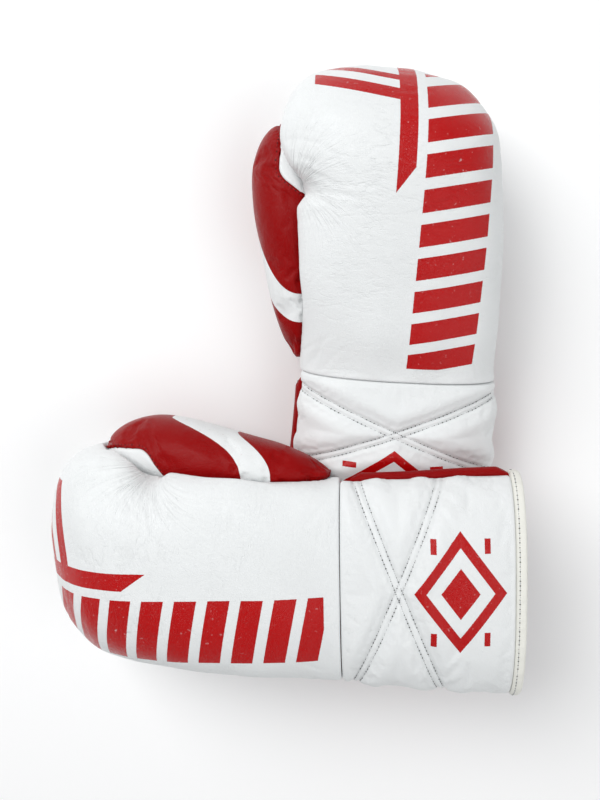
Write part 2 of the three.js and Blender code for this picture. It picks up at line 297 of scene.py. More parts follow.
# Pushes the side of the hand in, so that the thumb lies in it
def hugThumb(points):
    x, y, z = points[..., 0], points[..., 1], points[..., 2]
    s = hollow.at(hollow.runTo(x.ravel())).reshape(*x.shape, 6)
    midY, midZ = (s[..., 1] + s[..., 2]) / 2, (s[..., 3] + s[..., 4]) / 2
    halfY, halfZ = (s[..., 1] - s[..., 2]) / 2, (s[..., 3] - s[..., 4]) / 2
    level = np.abs(z - midZ) / halfZ
    square, soft = nestle["squareness"], nestle["soft"]
    wall = midY - halfY * np.clip(1 - level**square, 0, 1) ** (1 / square)
    wall = wall + np.maximum(level - 1, 0) * halfZ * nestle["flare"]
    over = np.clip((y - wall) / soft, -30, 30)
    push = soft * np.log1p(np.exp(over)) - 0.02
    push = push * smooth(x, *nestle["fadeIn"]) * (1 - smooth(x, *nestle["fadeOut"]))
    out = points.copy()
    out[..., 1] = y - np.maximum(push, 0)
    return out


def normalsOf(grid):
    along, across = np.gradient(grid, axis=0), np.gradient(grid, axis=1)
    n = np.cross(across, along)
    return n / np.maximum(np.linalg.norm(n, axis=-1, keepdims=True), 1e-9)


# Mean distance of each row (axis 0) or column (axis 1) from the first
def runOf(grid, axis):
    steps = np.linalg.norm(np.diff(grid, axis=axis), axis=-1).mean(axis=1 - axis)
    return np.concatenate([[0], np.cumsum(steps)])


# Shares from 0 to 1, closer together where an edge rolls over
def closeAtEdges(length, step, radius, first=True, last=True):
    turn = radius * (1 - np.cos(np.linspace(0, np.pi / 2, 5)[:-1]))
    low, high = radius if first else 0, length - (radius if last else 0)
    middle = np.linspace(low, high, max(2, int((high - low) / step) + 1))
    parts = [turn] if first else []
    parts.append(middle)
    if last:
        parts.append(length - turn[::-1])
    return np.concatenate(parts) / length


# Runs along a form between two places, closer together at both ends
def edgedRuns(form, start, end, step, radius):
    runs = form.runs(start, end, step)
    shares = closeAtEdges(runs[-1] - runs[0], step, radius)
    return runs[0] + shares * (runs[-1] - runs[0]), shares


# Sinks a grid's edges and folds them down, as a turned leather edge.
# edges says which are turned: first and last row, first and last column.
def rollEdges(grid, radius, wall, edges=(1, 1, 1, 1), inward=1):
    normal = normalsOf(grid) * inward

    def turnDown(run, first, last):
        near = np.minimum(run if first else run * 0 + 1e9, run[-1] - run if last else run * 0 + 1e9)
        reach = np.clip(radius - near, 0, radius)
        return radius - np.sqrt(radius**2 - reach**2)

    down = [turnDown(runOf(grid, 0), *edges[:2]), turnDown(runOf(grid, 1), *edges[2:])]
    pick, deep = [], []
    for axis in (0, 1):
        first, last = edges[2 * axis: 2 * axis + 2]
        count = grid.shape[axis]
        steps = np.linspace(radius, wall, 4)[1:] if wall > radius else np.zeros(0)
        before, after = (steps[::-1] if first else []), (steps if last else [])
        pick.append(np.concatenate([np.zeros(len(before)), np.arange(count),
                                    np.full(len(after), count - 1)]).astype(int))
        deep.append(np.concatenate([before, down[axis], after]))
    depth = np.maximum(deep[0][:, None], deep[1][None, :])
    cut = np.ix_(pick[0], pick[1])
    return grid[cut] - normal[cut] * depth[..., None]


def gridFaces(rows, columns, loop=False, flip=False):
    i, j = np.meshgrid(np.arange(rows - 1), np.arange(columns - (0 if loop else 1)), indexing="ij")
    right = (j + 1) % columns
    faces = np.stack([i * columns + j, i * columns + right,
                      (i + 1) * columns + right, (i + 1) * columns + j], -1).reshape(-1, 4)
    return faces[:, ::-1] if flip else faces


# Builds an object from grids or tubes, each (points, faces) in the glove's frame.
# The point attribute "cut" keeps every point's place in that frame, for the materials.
def makeObject(name, side, parts, material, thickness=0.0, weld=1e-6):
    points = np.concatenate([p.reshape(-1, 3) for p, _ in parts])
    faces, start = [], 0
    for p, f in parts:
        faces += (np.array(f) + start).tolist() if isinstance(f, np.ndarray) else [
            [v + start for v in face] for face in f]
        start += p.reshape(-1, 3).shape[0]
    if gloves[side]["hand"] < 0:
        faces = [face[::-1] for face in faces]
    mesh = bpy.data.meshes.new(name)
    mesh.from_pydata(place(side, points).tolist(), [], faces)
    mesh.attributes.new("cut", "FLOAT_VECTOR", "POINT").data.foreach_set(
        "vector", (points * mm).astype(np.float32).ravel())
    mesh.polygons.foreach_set("use_smooth", [True] * len(mesh.polygons))
    mesh.materials.append(material)
    thing = bpy.data.objects.new(name, mesh)
    scene.collection.objects.link(thing)
    work = bmesh.new()
    work.from_mesh(mesh)
    bmesh.ops.remove_doubles(work, verts=work.verts, dist=weld)
    bmesh.ops.dissolve_degenerate(work, edges=work.edges, dist=weld)
    work.to_mesh(mesh)
    work.free()
    if thickness:
        shell = thing.modifiers.new("thickness", "SOLIDIFY")
        shell.thickness, shell.offset = thickness * mm, -1
    return thing


# A tube through loops that hold the same number of points, closed at both ends
def tube(loops, flip=False):
    loops = np.asarray(loops, float)
    rows, columns = loops.shape[:2]
    faces = gridFaces(rows, columns, loop=True, flip=flip).tolist()
    ends = [loops[0].mean(0), loops[-1].mean(0)]
    low, high = rows * columns, rows * columns + 1
    for k in range(columns):
        nxt = (k + 1) % columns
        a = [low, nxt, k]
        b = [high, (rows - 1) * columns + k, (rows - 1) * columns + nxt]
        faces += [a[::-1], b[::-1]] if flip else [a, b]
    return np.concatenate([loops.reshape(-1, 3), ends]), faces


cushion = {"frames": 20, "mass": 0.2, "pressure": 4, "stretch": 12, "shear": 4, "bend": 0.4}


# Cloth held where `held` says, blown up from inside; gives each point's movement in mm
def swell(grid, held, cap, looser):
    rows, columns = grid.shape[:2]
    mesh = bpy.data.meshes.new("swelling")
    mesh.from_pydata((grid.reshape(-1, 3) * mm).tolist(), [], gridFaces(rows, columns).tolist())
    pad = bpy.data.objects.new("swelling", mesh)
    scene.collection.objects.link(pad)
    pins = pad.vertex_groups.new(name="held")
    pins.add([int(i) for i in np.flatnonzero(held.ravel())], 1.0, "REPLACE")
    cloth = pad.modifiers.new("cloth", "CLOTH")
    s = cloth.settings
    s.quality, s.mass = 6, cushion["mass"]
    s.tension_stiffness = s.compression_stiffness = cushion["stretch"]
    s.shear_stiffness, s.bending_stiffness = cushion["shear"], cushion["bend"]
    s.use_pressure, s.uniform_pressure_force = True, cushion["pressure"]
    s.vertex_group_mass = "held"
    s.shrink_min = -looser
    s.effector_weights.gravity = 0
    cloth.collision_settings.use_collision = False
    cloth.collision_settings.use_self_collision = False
    cloth.point_cache.frame_start, cloth.point_cache.frame_end = 1, cushion["frames"]
    for n in range(1, cushion["frames"] + 1):
        scene.frame_set(n)
    done = pad.evaluated_get(bpy.context.evaluated_depsgraph_get()).to_mesh()
    moved = np.zeros(len(done.vertices) * 3, np.float32)
    done.vertices.foreach_get("co", moved)
    shift = moved.reshape(grid.shape).astype(float) / mm - grid
    bpy.data.objects.remove(pad)
    scene.frame_set(1)
    size = np.linalg.norm(shift, axis=-1, keepdims=True)
    print("  swelled up to %.1f mm" % size.max())
    return shift * cap * np.tanh(size / cap) / np.maximum(size, 1e-6)


# Marks a grid's first and last rows and columns as held
def heldEdges(grid, rows, columns):
    held = np.zeros(grid.shape[:2], bool)
    held[:rows], held[-rows:], held[:, :columns], held[:, -columns:] = True, True, True, True
    return held


# Carries a movement from a coarse grid to a finer one over the same shares
def carry(shift, sharesU, sharesV, fineU, fineV):
    rows = np.array([through(sharesV, row, fineV) for row in shift])
    columns = [through(sharesU, rows[:, j], fineU) for j in range(rows.shape[1])]
    return np.array(columns).transpose(1, 0, 2)


print("tools ready")


def operator(kind, swap=False):
    return lambda self, other=0.0: self.math(kind, other, swap)


# Shader maths: a socket that sums and products can be written with
class Reading:
    def __init__(self, paint, socket):
        self.paint, self.socket = paint, socket

    def math(self, operation, other, swap=False):
        pair = (other, self) if swap else (self, other)
        return self.paint.node("ShaderNodeMath", {"operation": operation}, {0: pair[0], 1: pair[1]})

    def clamped(self):
        return self.least(1.0).most(0.0)

    __add__ = __radd__ = operator("ADD")
    __mul__ = __rmul__ = operator("MULTIPLY")
    __sub__, __rsub__ = operator("SUBTRACT"), operator("SUBTRACT", True)
    __truediv__, __rtruediv__ = operator("DIVIDE"), operator("DIVIDE", True)
    __pow__, __mod__ = operator("POWER"), operator("FLOORED_MODULO")
    __lt__, __gt__ = operator("LESS_THAN"), operator("GREATER_THAN")
    __abs__ = operator("ABSOLUTE")
    least, most = operator("MINIMUM"), operator("MAXIMUM")
    direction, sine = operator("ARCTAN2"), operator("SINE")


class Paint:
    def __init__(self, name):
        self.material = bpy.data.materials.new(name)
        self.material.use_nodes = True
        self.tree = self.material.node_tree
        self.tree.nodes.clear()

    def node(self, kind, settings=None, sockets=None, output=0):
        made = self.tree.nodes.new(kind)
        for key, value in (settings or {}).items():
            setattr(made, key, value)
        for key, value in (sockets or {}).items():
            if isinstance(value, Reading):
                self.tree.links.new(value.socket, made.inputs[key])
            else:
                made.inputs[key].default_value = value
        return Reading(self, made.outputs[output])

    def cut(self):
        return self.node("ShaderNodeAttribute", {"attribute_name": "cut"}, output="Vector")

    def parts(self, vector):
        made = self.node("ShaderNodeSeparateXYZ", None, {0: vector}).socket.node
        return [Reading(self, made.outputs[k]) for k in range(3)]

    def noise(self, vector, scale, detail=3.0, rough=0.5):
        return self.node("ShaderNodeTexNoise", None,
                         {"Vector": vector, "Scale": scale, "Detail": detail, "Roughness": rough})

    def stretched(self, vector, scale, turn=(0, 0, 0)):
        return self.node("ShaderNodeMapping", None, {"Vector": vector, "Scale": scale, "Rotation": turn})

    def blendColour(self, factor, a, b):
        made = self.node("ShaderNodeMix", {"data_type": "RGBA"}, {0: factor}).socket.node
        for key, value in ((6, a), (7, b)):
            if isinstance(value, Reading):
                self.tree.links.new(value.socket, made.inputs[key])
            else:
                made.inputs[key].default_value = (*value, 1)
        return Reading(self, made.outputs[2])

    def finish(self, colour, roughness, height, distance, **fixed):
        bump = self.node("ShaderNodeBump", None, {"Strength": 1.0, "Distance": distance, "Height": height})
        shader = self.node("ShaderNodeBsdfPrincipled", None,
                           {"Base Color": colour, "Roughness": roughness, "Normal": bump, **fixed})
        out = self.tree.nodes.new("ShaderNodeOutputMaterial")
        self.tree.links.new(shader.socket, out.inputs["Surface"])
        return self.material


whiteColour = (0.81, 0.828, 0.83)
redColour = (0.27, 0.0, 0.0003)
printColour = (0.46, 0.0, 0.0004)
leatherLook = {
    "grain": 950,  # cells per metre
    "grainDepth": 0.10,
    "foldDepth": 0.5,
    "metre": 0.00055,  # height of a full bump
}


def inside(value, low, high):
    return (value > low) * (value < high)


# Prints are in metres in the glove's frame
blockPrint = {
    "middle": 0.012, "lowest": 0.0585,
    "y": (-0.062, -0.0145), "x": (0.130, 0.331), "slant": 0.2, "first": 0.1225, "pitch": 0.0225,
    "width": 0.0150,
    "bar": (-0.008, 0.004), "barStart": 0.250, "barSlant": 1.42,
    "armY": (0.004, 0.061), "armSlant": 0.16, "arms": ((0.3095, 0.3175), (0.3235, 0.3275)),
}
lozenge = {
    "x": 0.038, "y": 0.001, "halfX": 0.031, "halfY": 0.042, "lowest": 0.09,
    "ring": (0.74, 1.0), "core": 0.42,
    "barsY": (0.027, 0.037), "barsX": (0.016, 0.020),
}
stripe = {"start": 0.172, "sweep": 0.040, "bend": 2.3, "half": 0.0105, "fromY": 0.075, "reach": 0.035}
notchFan = {
    "x": 0.249, "y": 0.082, "twist": 7, "reachScale": 22,
    "sets": ((6, 15, 1.3), (13, 12, 5.7)),  # creases to a turn, sharpness, seed
}


# Raised blocks, bars and stripes that decorate the back of the hand
def handPrint(x, y, z):
    look = blockPrint
    y = y - look["middle"]
    slanted = x + y * look["slant"]
    blocks = (inside(y, *look["y"]) * inside(x, *look["x"])
              * ((slanted - look["first"]) % look["pitch"] < look["width"]))
    bar = inside(y, *look["bar"]) * (x - (look["bar"][1] - y) * look["barSlant"] > look["barStart"])
    arm = inside(y, *look["armY"])
    across = x - y * look["armSlant"]
    first, second = (arm * inside(across, *span) for span in look["arms"])
    return ((blocks + bar + (first + second)) * (z > look["lowest"])).least(1.0)


# A plain lozenge in a lozenge, on the back of the cuff
def cuffPrint(x, y, z):
    offX, offY = abs(x - lozenge["x"]), abs(y - lozenge["y"])
    size = offX / lozenge["halfX"] + offY / lozenge["halfY"]
    bars = inside(offY, *lozenge["barsY"]) * inside(offX, *lozenge["barsX"])
    shape = inside(size, *lozenge["ring"]) + (size < lozenge["core"]) + bars
    return shape.least(1.0) * (z > lozenge["lowest"])


def thumbStripe(x, y, z):
    share = ((y - stripe["fromY"]) / stripe["reach"]).most(0.0).least(1.15)
    centre = stripe["start"] + stripe["sweep"] * share ** stripe["bend"]
    return inside(x - centre, -stripe["half"], stripe["half"])


# Fine creases that spread from the notch beside the thumb's tip
def fanCreases(paint, x, y):
    dx, dy = x - notchFan["x"], y - notchFan["y"]
    reach = (dx * dx + dy * dy) ** 0.5
    angle = dy.direction(dx) + reach * notchFan["twist"]
    total = 0
    for turns, sharpness, seed in notchFan["sets"]:
        spot = paint.node("ShaderNodeCombineXYZ", None,
                          {0: angle * turns, 1: reach * notchFan["reachScale"], 2: seed})
        total = (1 - abs(paint.noise(spot, 1, 1) - 0.5) * sharpness).most(0.0) ** 1.4 + total
    near = (reach * 90 - 0.2).clamped() * (1.15 - reach * 14).clamped()
    return total * near * (paint.noise(paint.cut(), 30, 1) * 2.4 - 0.5).clamped()


def leather(name, colour, roughness, mask=None, second=None, secondRoughness=0.25, fold=1.0,
            foldScale=(1, 1, 1), foldTurn=(0, 0, 0), coat=0.06, specular=0.28, fan=0.0):
    paint = Paint(name)
    cut = paint.cut()
    x, y, z = paint.parts(cut)
    cells = paint.node("ShaderNodeTexVoronoi", {"feature": "DISTANCE_TO_EDGE"},
                       {"Vector": cut, "Scale": leatherLook["grain"]}, "Distance")
    pores = paint.noise(cut, 2300, 2)
    mottle = paint.noise(cut, 38, 4)
    patches = (paint.noise(cut, 17, 2) * 3.2 - 1.15).clamped()
    folded = paint.stretched(cut, foldScale, foldTurn)
    swirl = paint.noise(folded, 55, 5, 0.55)
    creases = (1 - abs(swirl - 0.5) * 14).most(0.0)
    fine = paint.noise(folded, 210, 4, 0.6)
    fineCreases = (1 - abs(fine - 0.5) * 9).most(0.0)
    grain = (cells * 5).least(1.0) * leatherLook["grainDepth"] + pores * 0.05
    height = grain - (creases**1.5 * 0.55 + fineCreases * 0.16) * patches * (leatherLook["foldDepth"] * fold)
    height = height + mottle * 0.35
    if fan:
        height = height - fanCreases(paint, x, y) * fan
    # painted shade: the colour darkens along the creases; the mottle term is the leather's random tone
    creaseShadeAndMottle = 1 - (creases * patches * 0.05 + (mottle - 0.5) * 0.07)
    base = paint.blendColour(creaseShadeAndMottle.clamped(), tuple(c * 0.82 for c in colour), colour)
    rough = roughness + (mottle - 0.5) * 0.16 + creases * patches * 0.06
    if mask:
        ragged = (paint.noise(cut, 1400, 2) - 0.5) * 0.0005
        printed = mask(x + ragged, y + ragged, z)
        worn = ((paint.noise(cut, 320, 3) - 0.66) * 9).clamped() * patches
        shown = printed * (1 - worn * 0.5)
        # the print gets the same painted crease shade, with pores and mottle as random tone
        printCreaseShadeAndMottle = paint.blendColour((creaseShadeAndMottle + (pores - 0.5) * 0.25).clamped(),
                                       tuple(c * 0.72 for c in second), second)
        base = paint.blendColour(shown, base, printCreaseShadeAndMottle)
        rough = rough * (1 - printed) + (secondRoughness + (mottle - 0.5) * 0.10) * printed
        height = height + printed * 0.10
    return paint.finish(base, rough.clamped(), height, leatherLook["metre"] * 2,
                        **{"Coat Weight": coat, "Coat Roughness": 0.28, "Specular IOR Level": specular})


# Woven tape or cloth: two sets of threads crossing
def cloth(name, colour, threads, roughness=0.85, depth=0.0002):
    paint = Paint(name)
    cut = paint.cut()
    x, y, z = paint.parts(cut)
    wobble = paint.noise(cut, 60, 2) * 0.0006
    warp, weft = (((along + wobble) * (threads * 6.2832)).sine() for along in (x, y + z))
    weave = (warp * weft) * 0.5 + 0.5
    fuzz = paint.noise(cut, 900, 3)
    dirt = paint.noise(cut, 25, 4)
    base = paint.blendColour((weave * 0.35 + fuzz * 0.4 + dirt * 0.35).clamped(),
                             tuple(c * 0.7 for c in colour), colour)
    return paint.finish(base, roughness + (fuzz - 0.5) * 0.1, weave * 0.6 + fuzz * 0.4, depth * 2,
                        **{"Sheen Weight": 0.25, "Sheen Roughness": 0.5})


def thread(name, colour, roughness):
    paint = Paint(name)
    spot = paint.node("ShaderNodeTexCoord", output="Object")
    fuzz = paint.noise(spot, 2500, 2)
    base = paint.blendColour(fuzz, tuple(c * 0.75 for c in colour), colour)
    return paint.finish(base, roughness + (fuzz - 0.5) * 0.1, fuzz, 0.0002)


materials = {
    "handWhite": leather("hand_white", whiteColour, 0.40, handPrint, printColour, 0.24,
                         foldScale=(1.5, 0.7, 1), fan=0.3),
    "white": leather("plain_white", whiteColour, 0.40, foldScale=(0.8, 1.3, 1)),
    "cuffWhite": leather("cuff_white", whiteColour, 0.40, cuffPrint, printColour, 0.26, fold=0.7),
    "red": leather("red_leather", redColour, 0.33, fold=0.9, coat=0.04, specular=0.1),
    "thumbRed": leather("thumb_red", redColour, 0.30, thumbStripe, whiteColour, 0.38,
                        foldScale=(0.6, 1.6, 1.2), coat=0.05, specular=0.1),
    "facingRed": leather("facing_red", redColour, 0.38, fold=0.4, coat=0.04, specular=0.15),
    "gussetRed": leather("gusset_red", redColour, 0.40, fold=1.2, coat=0.0, specular=0.15),
    "tongueWhite": leather("tongue_white", whiteColour, 0.45, fold=0.8),
    "binding": leather("binding_cream", (0.84, 0.835, 0.775), 0.5, fold=0.5, coat=0.0),
    "lining": cloth("lining_cloth", (0.62, 0.63, 0.65), 700),
    "grip": cloth("grip_cloth", (0.55, 0.56, 0.58), 500),
    "threadWhite": thread("thread_white", (0.60, 0.61, 0.62), 0.6),
    "threadRed": thread("thread_red", (0.42, 0.01, 0.012), 0.6),
    # painted shade: near-black blobs stand in for the shade inside the needle holes
    "holeShade": thread("needle_hole_shade", (0.012, 0.012, 0.014), 0.9),
}
print("materials ready")


# Stitches: a point for each, then Geometry Nodes set a thread on it and, between threads, a dark blob of
# painted shade for the needle hole
stitching = {"pitch": 3.2, "length": 2.2, "thickness": 0.6, "hole": 1.0}


def stitchTree():
    tree = bpy.data.node_groups.new("stitches", "GeometryNodeTree")
    face = tree.interface
    face.new_socket(name="Geometry", in_out="INPUT", socket_type="NodeSocketGeometry")
    for name in ("Pitch", "Thread Length", "Thread Thickness", "Hole Size"):
        face.new_socket(name=name, in_out="INPUT", socket_type="NodeSocketFloat")
    for name in ("Thread", "Hole"):
        face.new_socket(name=name, in_out="INPUT", socket_type="NodeSocketMaterial")
    face.new_socket(name="Geometry", in_out="OUTPUT", socket_type="NodeSocketGeometry")

    def node(kind, settings=None, sockets=None):
        made = tree.nodes.new(kind)
        for key, value in (settings or {}).items():
            setattr(made, key, value)
        for key, value in (sockets or {}).items():
            if isinstance(value, bpy.types.NodeSocket):
                tree.links.new(value, made.inputs[key])
            else:
                made.inputs[key].default_value = value
        return made

    given = node("NodeGroupInput").outputs
    along = node("GeometryNodeInputNamedAttribute", {"data_type": "FLOAT_VECTOR"}, {"Name": "along"})
    out = node("GeometryNodeInputNamedAttribute", {"data_type": "FLOAT_VECTOR"}, {"Name": "out"})
    first = node("FunctionNodeAlignRotationToVector", {"axis": "X"},
                 {"Vector": along.outputs["Attribute"]})
    turn = node("FunctionNodeAlignRotationToVector", {"axis": "Z", "pivot_axis": "X"},
                {"Rotation": first.outputs[0], "Vector": out.outputs["Attribute"]})
    vary = node("FunctionNodeRandomValue", {"data_type": "FLOAT"}, {2: 0.88, 3: 1.1, "Seed": 11})

    def laid(points, length, width, tall, segments, material):
        ball = node("GeometryNodeMeshUVSphere", None, {"Segments": segments, "Rings": 4, "Radius": 0.5})
        size = node("ShaderNodeCombineXYZ", None, {0: length, 1: width, 2: tall})
        shaped = node("GeometryNodeTransform", None,
                      {"Geometry": ball.outputs["Mesh"], "Scale": size.outputs[0]})
        many = node("GeometryNodeInstanceOnPoints", None,
                    {"Points": points, "Instance": shaped.outputs[0], "Rotation": turn.outputs[0],
                     "Scale": vary.outputs[1]})
        real = node("GeometryNodeRealizeInstances", None, {"Geometry": many.outputs[0]})
        return node("GeometryNodeSetMaterial", None, {"Geometry": real.outputs[0], "Material": material})

    half = node("ShaderNodeMath", {"operation": "MULTIPLY"}, {0: given["Pitch"], 1: 0.5})
    step = node("ShaderNodeVectorMath", {"operation": "SCALE"},
                {0: along.outputs["Attribute"], "Scale": half.outputs[0]})
    between = node("GeometryNodeSetPosition", None,
                   {"Geometry": given["Geometry"], "Offset": step.outputs[0]})
    threads = laid(given["Geometry"], given["Thread Length"], given["Thread Thickness"],
                   given["Thread Thickness"], 6, given["Thread"])
    # the hole blobs are painted shade: dark flattened spheres on the surface, not cut holes
    low = node("ShaderNodeMath", {"operation": "MULTIPLY"}, {0: given["Hole Size"], 1: 0.35})
    holes = laid(between.outputs[0], given["Hole Size"], given["Hole Size"], low.outputs[0], 6, given["Hole"])
    both = node("GeometryNodeJoinGeometry")
    tree.links.new(threads.outputs[0], both.inputs[0])
    tree.links.new(holes.outputs[0], both.inputs[0])
    tree.links.new(both.outputs[0], node("NodeGroupOutput").inputs[0])
    return tree


sewing = stitchTree()
rowsOf = {}  # (side, body, thread) to a list of stitched lines


# Notes a line of stitches: points and outward directions in the glove's frame
def stitchLine(side, body, points, outward, colour="threadWhite"):
    rowsOf.setdefault((side, body, colour), []).append((np.array(points), np.array(outward)))


# A line over a grid, given as fractional row and column numbers
def lineOn(grid, rows, columns):
    normal = normalsOf(grid)
    i = np.clip(rows, 0, grid.shape[0] - 1.001)
    j = np.clip(columns, 0, grid.shape[1] - 1.001)
    a, b = i.astype(int), j.astype(int)
    u, v = (i - a)[:, None], (j - b)[:, None]

    def pick(field):
        low = field[a, b] * (1 - v) + field[a, b + 1] * v
        high = field[a + 1, b] * (1 - v) + field[a + 1, b + 1] * v
        return low * (1 - u) + high * u

    return pick(grid), pick(normal)


# A line along one edge of a grid, a distance in from it: 0 first row, 1 last, 2 first column, 3 last
def lineByEdge(grid, edge, distance, margin=2.0):
    axis = edge // 2
    run = runOf(grid, axis)
    at = run[-1] - distance if edge % 2 else distance
    fixed = np.interp(at, run, np.arange(len(run)))
    other = runOf(grid, 1 - axis)
    free = np.interp(np.linspace(margin, other[-1] - margin, 400), other, np.arange(len(other)))
    still = np.full(400, fixed)
    return lineOn(grid, still, free) if axis == 0 else lineOn(grid, free, still)


# A straight line seen from above, laid on a grid whose rows follow x
def lineFromAbove(grid, start, end):
    share = np.linspace(0, 1, 300)
    x, y = start[0] + (end[0] - start[0]) * share, start[1] + (end[1] - start[1]) * share
    rows = np.interp(x, grid[:, :, 0].mean(1), np.arange(len(grid)))
    columns = []
    for r, across in zip(rows, y):
        a = min(int(r), len(grid) - 2)
        row = grid[a] * (1 - (r - a)) + grid[a + 1] * (r - a)
        order = np.argsort(row[:, 1])
        columns.append(np.interp(across, row[order, 1], order.astype(float)))
    return lineOn(grid, rows, np.array(columns))


def sew():
    for (side, body, colour), lines in rowsOf.items():
        spots, along, out = [], [], []
        for points, outward in lines:
            run = np.concatenate([[0], np.cumsum(np.linalg.norm(np.diff(points, axis=0), axis=1))])
            at = np.arange(stitching["pitch"] / 2, run[-1], stitching["pitch"])
            if len(at) < 2:
                continue
            spot = np.stack([np.interp(at, run, points[:, k]) for k in range(3)], -1)
            up = np.stack([np.interp(at, run, outward[:, k]) for k in range(3)], -1)
            heading = np.gradient(spot, axis=0)
            spots.append(spot + up * 0.08)
            along.append(heading / np.linalg.norm(heading, axis=1, keepdims=True))
            out.append(up / np.linalg.norm(up, axis=1, keepdims=True))
        where = place(side, np.concatenate(spots))
        where[:, 2] = np.maximum(where[:, 2], stitching["thickness"] * mm * 0.6)
        mesh = bpy.data.meshes.new("seam")
        mesh.from_pydata(where.tolist(), [], [])
        for name, field in (("along", along), ("out", out)):
            values = turned(side, np.concatenate(field))
            mesh.attributes.new(name, "FLOAT_VECTOR", "POINT").data.foreach_set(
                "vector", values.astype(np.float32).ravel())
        holder = bpy.data.objects.new("seam", mesh)
        scene.collection.objects.link(holder)
        sewn = holder.modifiers.new("sewing", "NODES")
        sewn.node_group = sewing
        values = {
            "Pitch": stitching["pitch"] * mm,
            "Thread Length": stitching["length"] * mm,
            "Thread Thickness": stitching["thickness"] * mm,
            "Hole Size": stitching["hole"] * mm,
            "Thread": materials[colour],
            "Hole": materials["holeShade"],
        }
        for item in sewing.interface.items_tree:
            if item.in_out == "INPUT" and item.name in values:
                sewn[item.identifier] = values[item.name]
        done = bpy.data.meshes.new_from_object(holder.evaluated_get(bpy.context.evaluated_depsgraph_get()))
        bpy.data.objects.remove(holder)
        name = f"{side}_{body}_{'red' if 'Red' in colour else 'white'}_stitches"
        stitches = bpy.data.objects.new(name, done)
        scene.collection.objects.link(stitches)
        join(stitches, side, body)


# How a piece is joined: hand and cuff pieces with bends set only get their placement baked in, the rest are
# parented to their body
wristFold = (131, 107)  # along x: the hand's side and the cuff's side of the bending zone


def join(piece, side, body, bends=True):
    if body in ("hand", "cuff") and bends:
        ends = [Vector(place(side, np.array([x, 0, wristPoint[2]]))) for x in wristFold]
        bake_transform(piece)
    elif body == "thumb_wing" and side == "left":
        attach(piece, "left_cuff")  # this wing lies on the other cuff and has no joint
    else:
        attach(piece, f"{side}_{body}")


# Hides the imported parts that a piece replaces, then joins the piece as join() does
def settle(piece, side, body, nodes, bends=True):
    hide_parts(*[f"{side}_{node}" for node in nodes])
    join(piece, side, body, bends)


# Hand: back, palm and finger leather over shaped foam
handLook = {
    "step": {True: 1.4, False: 1.7},  # of the grid, on the back and on the underside
    "edgeRadius": 1.7,
    "stitchesIn": 3.2,
    "wall": 3.6,
    "leather": 1.1,
    "lumps": 0.5,
    "width": {True: 250, False: 165},  # round the back and round the underside
    # groups of folds: how many, middle, spread, heading and its spread in degrees, length, width, depth
    "folds": [
        (1, (248, 58), (0.1, 0.1), (-92, 1), (50, 52), (1.6, 1.7), (0.9, 1.0)),
        (9, (258, 62), (7, 6), (-128, 22), (30, 52), (1.6, 2.2), (0.15, 0.35)),
        (5, (238, 60), (5, 6), (-66, 16), (26, 40), (1.6, 2.0), (0.1, 0.25)),
        (12, (300, 30), (22, 34), (80, 22), (16, 36), (1.2, 2.0), (0.2, 0.45)),
        (9, (296, -25), (22, 30), (100, 18), (16, 34), (1.2, 2.0), (0.15, 0.4)),
        (9, (134, 62), (8, 6), (-35, 22), (16, 30), (1.2, 1.9), (0.2, 0.45)),
        (7, (134, -58), (8, 8), (35, 22), (14, 26), (1.2, 1.9), (0.2, 0.4)),
    ],
    "seeds": {"right": 4, "left": 9},
}


# Shallow folds and lumps: how far each point of a grid sinks
def foldDepth(points, groups, seed):
    draw = np.random.default_rng(seed)
    x, y = points[..., 0], points[..., 1]
    depth = np.zeros(x.shape)
    for count, middle, spread, (heading, fan), lengths, widths, depths in groups:
        for _ in range(count):
            cx, cy = middle[0] + draw.normal() * spread[0], middle[1] + draw.normal() * spread[1]
            way = math.radians(heading + draw.uniform(-fan, fan))
            length, width = draw.uniform(*lengths), draw.uniform(*widths)
            deep, bow = draw.uniform(*depths), draw.uniform(-0.012, 0.012)
            along = (x - cx) * math.cos(way) + (y - cy) * math.sin(way)
            across = (y - cy) * math.cos(way) - (x - cx) * math.sin(way) + bow * along**2
            fade = np.exp(-((along / (length / 2)) ** 4))
            valley, banks = np.exp(-((across / width) ** 2)), np.exp(-((across / (2.6 * width)) ** 2))
            depth += deep * fade * (valley - 0.45 * banks)
    return depth


def lumps(points, seed, size):
    draw = np.random.default_rng(seed)
    total = np.zeros(points.shape[:-1])
    for _ in range(7):
        way = draw.normal(size=3)
        wave = way / np.linalg.norm(way) * draw.uniform(0.07, 0.2)
        total += np.sin(points @ wave + draw.uniform(0, 6.28)) / 2.6
    return total * size


def handGrid(startX, endX, step, upper, side, edges):
    radius = handLook["edgeRadius"]
    knots = hand.runs(startX, min(endX, handShape["lastRing"]), step)
    if endX > handShape["lastRing"]:
        knots = np.append(knots[:-1], hand.knots[-1])
    rise = hand.angleAtHeight(knots, handShape["seam"], 1)
    start, end = (rise, np.pi - rise) if upper else (np.pi - rise, 2 * np.pi + rise)
    length = knots[-1] - knots[0]
    runs = knots[0] + closeAtEdges(length, step, radius, edges[0], edges[1]) * length
    shares = closeAtEdges(handLook["width"][upper], step, radius)
    grid = hand.wrap(runs, np.interp(runs, knots, start), np.interp(runs, knots, end), shares)
    grid = hugThumb(rollOverThumb(grid) if upper else grid)
    seed = handLook["seeds"][side]
    sink = lumps(grid, seed, handLook["lumps"])
    if upper:
        sink = sink + foldDepth(grid, handLook["folds"], seed) * smooth(grid[..., 2], 66, 84)
    fade = smooth(grid[..., 0], startX, startX + 6) * (1.0 if upper else 0.5)
    return grid - normalsOf(grid) * (sink * fade)[..., None]


